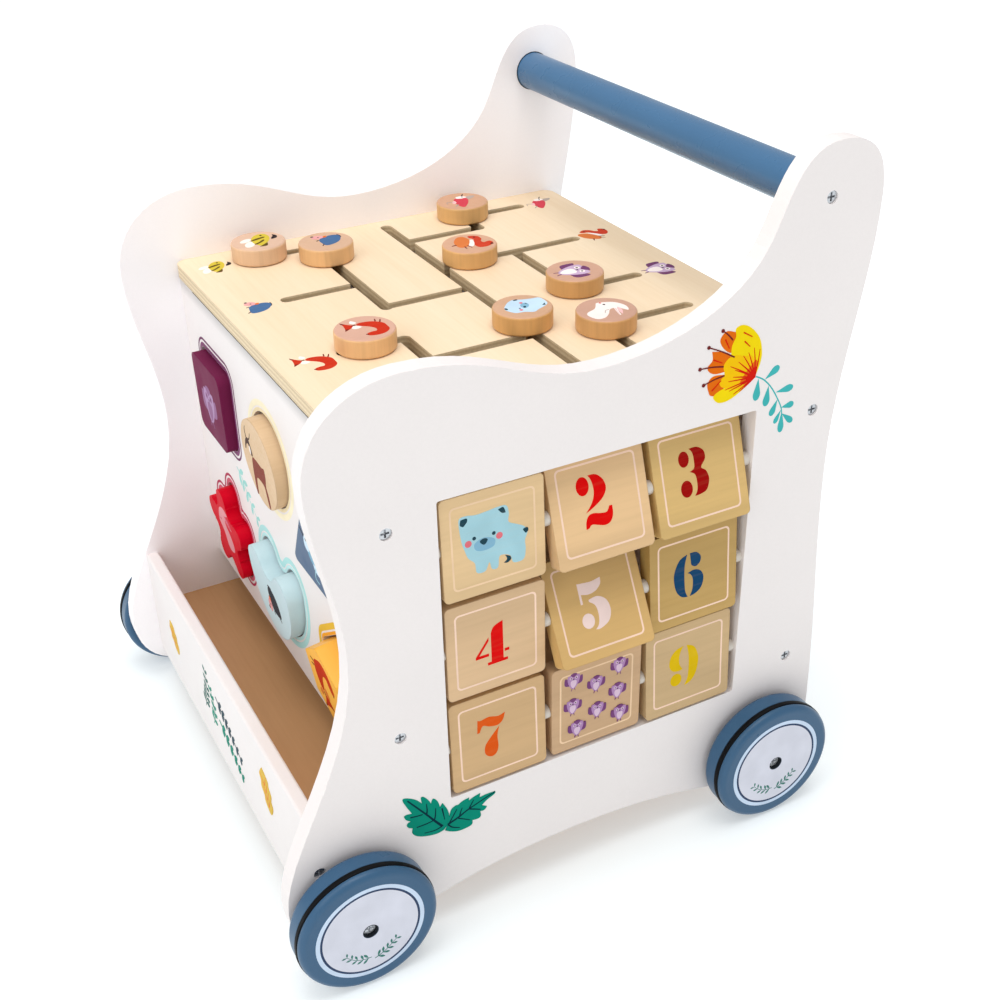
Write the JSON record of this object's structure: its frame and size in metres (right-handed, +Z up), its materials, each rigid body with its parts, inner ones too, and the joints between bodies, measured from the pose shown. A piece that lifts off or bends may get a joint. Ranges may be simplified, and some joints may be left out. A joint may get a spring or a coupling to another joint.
{
  "type": "baby walker",
  "caption": "Wooden push-along baby walker with shaped side panels, turning number tiles, a sliding-knob maze, a shape sorter, a catch tray and four rubber-ringed wheels.",
  "frame": {"origin": "on the floor under the middle of the overall box", "axes": "+Z up, +Y from the catch tray at the front to the handle bar at the rear, +X towards the side panel with the tile window"},
  "size_m": [0.38, 0.3815, 0.4425],
  "materials": {
    "white_paint": "satin paint",
    "birch_plywood": "clear satin lacquer",
    "brown_plywood": "matt stain",
    "beech": "clear satin lacquer",
    "blue_paint": "satin paint",
    "zinc_steel": "zinc plated",
    "black_rubber": "matt",
    "purple_paint": "satin paint",
    "slate_blue_paint": "satin paint",
    "red_paint": "satin paint",
    "mint_paint": "satin paint",
    "orange_paint": "satin paint"
  },
  "bodies": {
    "frame": {"side_panel_right": "white_paint", "side_panel_left": "white_paint", "maze_board": "birch_plywood", "sorter_board": "white_paint", "back_board": "white_paint", "floor_board": "brown_plywood", "tray_lip": "white_paint", "handle_bar": "blue_paint", "panel_screws": "zinc_steel", "board_dowels": "beech", "tile_rods": "zinc_steel", "tile_spacers": "white_paint", "axle_bolts": "zinc_steel", "axle_washers": "zinc_steel", "axle_nuts": "zinc_steel"},
    "tile_1": {"tile_1": "birch_plywood"},
    "tile_2": {"tile_2": "birch_plywood"},
    "tile_3": {"tile_3": "birch_plywood"},
    "tile_4": {"tile_4": "birch_plywood"},
    "tile_5": {"tile_5": "birch_plywood"},
    "tile_6": {"tile_6": "birch_plywood"},
    "tile_7": {"tile_7": "birch_plywood"},
    "tile_8": {"tile_8": "birch_plywood"},
    "tile_9": {"tile_9": "birch_plywood"},
    "knob_bee": {"knob_bee": "beech", "washer_bee": "beech"},
    "knob_hedgehog": {"knob_hedgehog": "beech", "washer_hedgehog": "beech"},
    "knob_fox": {"knob_fox": "beech", "washer_fox": "beech"},
    "knob_bird": {"knob_bird": "beech", "washer_bird": "beech"},
    "knob_squirrel": {"knob_squirrel": "beech", "washer_squirrel": "beech"},
    "knob_owl": {"knob_owl": "beech", "washer_owl": "beech"},
    "knob_bear": {"knob_bear": "beech", "washer_bear": "beech"},
    "knob_bunny": {"knob_bunny": "beech", "washer_bunny": "beech"},
    "block_square": {"block_square": "purple_paint"},
    "block_circle": {"block_circle": "beech"},
    "block_triangle": {"block_triangle": "slate_blue_paint"},
    "block_flower": {"block_flower": "red_paint"},
    "block_heart": {"block_heart": "mint_paint"},
    "block_hexagon": {"block_hexagon": "orange_paint"},
    "wheel_front_right": {"wheel_front_right": "blue_paint", "tyre_front_right": "black_rubber"},
    "wheel_front_left": {"wheel_front_left": "blue_paint", "tyre_front_left": "black_rubber"},
    "wheel_back_right": {"wheel_back_right": "blue_paint", "tyre_back_right": "black_rubber"},
    "wheel_back_left": {"wheel_back_left": "blue_paint", "tyre_back_left": "black_rubber"}
  },
  "joints": [
    {"name": "tile_1_spin", "type": "hinge", "parent": "frame", "child": "tile_1", "pos_m": [0.161, -0.04967, 0.26267], "axis": [0, 1, 0], "continuous": true},
    {"name": "tile_2_spin", "type": "hinge", "parent": "frame", "child": "tile_2", "pos_m": [0.161, 0.017, 0.26267], "axis": [0, 1, 0], "continuous": true},
    {"name": "tile_3_spin", "type": "hinge", "parent": "frame", "child": "tile_3", "pos_m": [0.161, 0.08367, 0.26267], "axis": [0, 1, 0], "continuous": true},
    {"name": "tile_4_spin", "type": "hinge", "parent": "frame", "child": "tile_4", "pos_m": [0.161, -0.04967, 0.196], "axis": [0, 1, 0], "continuous": true},
    {"name": "tile_5_spin", "type": "hinge", "parent": "frame", "child": "tile_5", "pos_m": [0.161, 0.017, 0.196], "axis": [0, 1, 0], "continuous": true},
    {"name": "tile_6_spin", "type": "hinge", "parent": "frame", "child": "tile_6", "pos_m": [0.161, 0.08367, 0.196], "axis": [0, 1, 0], "continuous": true},
    {"name": "tile_7_spin", "type": "hinge", "parent": "frame", "child": "tile_7", "pos_m": [0.161, -0.04967, 0.12933], "axis": [0, 1, 0], "continuous": true},
    {"name": "tile_8_spin", "type": "hinge", "parent": "frame", "child": "tile_8", "pos_m": [0.161, 0.017, 0.12933], "axis": [0, 1, 0], "continuous": true},
    {"name": "tile_9_spin", "type": "hinge", "parent": "frame", "child": "tile_9", "pos_m": [0.161, 0.08367, 0.12933], "axis": [0, 1, 0], "continuous": true},
    {"name": "knob_bee_slide", "type": "slide", "parent": "frame", "child": "knob_bee", "axis": [0, 1, 0], "range_m": [-0.01, 0.01]},
    {"name": "knob_hedgehog_slide", "type": "slide", "parent": "frame", "child": "knob_hedgehog", "axis": [1, 0, 0], "range_m": [0, 0.09]},
    {"name": "knob_fox_slide", "type": "slide", "parent": "frame", "child": "knob_fox", "axis": [0, 1, 0], "range_m": [-0.014, 0.024]},
    {"name": "knob_bird_slide", "type": "slide", "parent": "frame", "child": "knob_bird", "axis": [0, 1, 0], "range_m": [0, 0.045]},
    {"name": "knob_squirrel_slide", "type": "slide", "parent": "frame", "child": "knob_squirrel", "axis": [0, 1, 0], "range_m": [-0.02, 0.078]},
    {"name": "knob_owl_slide", "type": "slide", "parent": "frame", "child": "knob_owl", "axis": [0, 1, 0], "range_m": [0, 0.045]},
    {"name": "knob_bear_slide", "type": "slide", "parent": "frame", "child": "knob_bear", "axis": [1, 0, 0], "range_m": [-0.06, 0.05]},
    {"name": "knob_bunny_slide", "type": "slide", "parent": "frame", "child": "knob_bunny", "axis": [1, 0, 0], "range_m": [-0.005, 0.024]},
    {"name": "block_square_slide", "type": "slide", "parent": "frame", "child": "block_square", "axis": [0, 0.9998, 0.0175], "range_m": [-0.014, 0.03]},
    {"name": "block_circle_slide", "type": "slide", "parent": "frame", "child": "block_circle", "axis": [0, 0.9986, 0.0523], "range_m": [-0.014, 0.03]},
    {"name": "block_triangle_slide", "type": "slide", "parent": "frame", "child": "block_triangle", "axis": [0, 0.9986, 0.0523], "range_m": [-0.014, 0.03]},
    {"name": "block_flower_slide", "type": "slide", "parent": "frame", "child": "block_flower", "axis": [0, 0.9986, 0.0523], "range_m": [-0.014, 0.03]},
    {"name": "block_heart_slide", "type": "slide", "parent": "frame", "child": "block_heart", "axis": [0, 0.9976, 0.0698], "range_m": [-0.014, 0.03]},
    {"name": "block_hexagon_slide", "type": "slide", "parent": "frame", "child": "block_hexagon", "axis": [0, 0.9903, 0.1392], "range_m": [-0.014, 0.03]},
    {"name": "wheel_front_right_roll", "type": "hinge", "parent": "frame", "child": "wheel_front_right", "pos_m": [0.18, -0.1475, 0.04325], "axis": [1, 0, 0], "continuous": true},
    {"name": "wheel_front_left_roll", "type": "hinge", "parent": "frame", "child": "wheel_front_left", "pos_m": [-0.18, -0.1475, 0.04325], "axis": [1, 0, 0], "continuous": true},
    {"name": "wheel_back_right_roll", "type": "hinge", "parent": "frame", "child": "wheel_back_right", "pos_m": [0.18, 0.139, 0.04325], "axis": [1, 0, 0], "continuous": true},
    {"name": "wheel_back_left_roll", "type": "hinge", "parent": "frame", "child": "wheel_back_left", "pos_m": [-0.18, 0.139, 0.04325], "axis": [1, 0, 0], "continuous": true}
  ]
}
